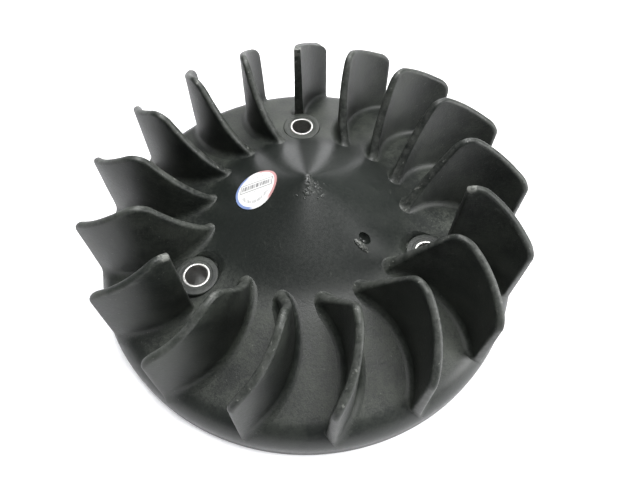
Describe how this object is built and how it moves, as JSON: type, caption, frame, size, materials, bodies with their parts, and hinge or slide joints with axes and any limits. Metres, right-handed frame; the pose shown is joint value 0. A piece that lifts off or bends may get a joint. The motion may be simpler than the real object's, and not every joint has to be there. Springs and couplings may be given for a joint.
{
  "type": "engine cooling fan",
  "caption": "Moulded radial cooling fan with curved blades, a closed cone hub and a skirted rim, bolted through steel bushes to a small engine's flywheel.",
  "frame": {"origin": "centre of the rim's lower edge, on the shaft axis", "axes": "+Z along the shaft axis, towards the cone's tip and the air inlet; +Y from the axis through the first mounting boss"},
  "size_m": [0.138, 0.138, 0.0472],
  "materials": {
    "black_plastic": "satin, fine moulding grain",
    "bush_steel": "bright, lightly brushed",
    "label_film": "printed gloss film"
  },
  "bodies": {
    "root": {"hub": "black_plastic", "disc": "black_plastic", "rim": "black_plastic", "boss_1": "black_plastic", "boss_2": "black_plastic", "boss_3": "black_plastic", "blade_01": "black_plastic", "blade_02": "black_plastic", "blade_03": "black_plastic", "blade_04": "black_plastic", "blade_05": "black_plastic", "blade_06": "black_plastic", "blade_07": "black_plastic", "blade_08": "black_plastic", "blade_09": "black_plastic", "blade_10": "black_plastic", "blade_11": "black_plastic", "blade_12": "black_plastic", "blade_13": "black_plastic", "blade_14": "black_plastic", "blade_15": "black_plastic", "blade_16": "black_plastic", "blade_17": "black_plastic", "bush_1": "bush_steel", "bush_2": "bush_steel", "bush_3": "bush_steel", "label": "label_film"}
  },
  "joints": []
}
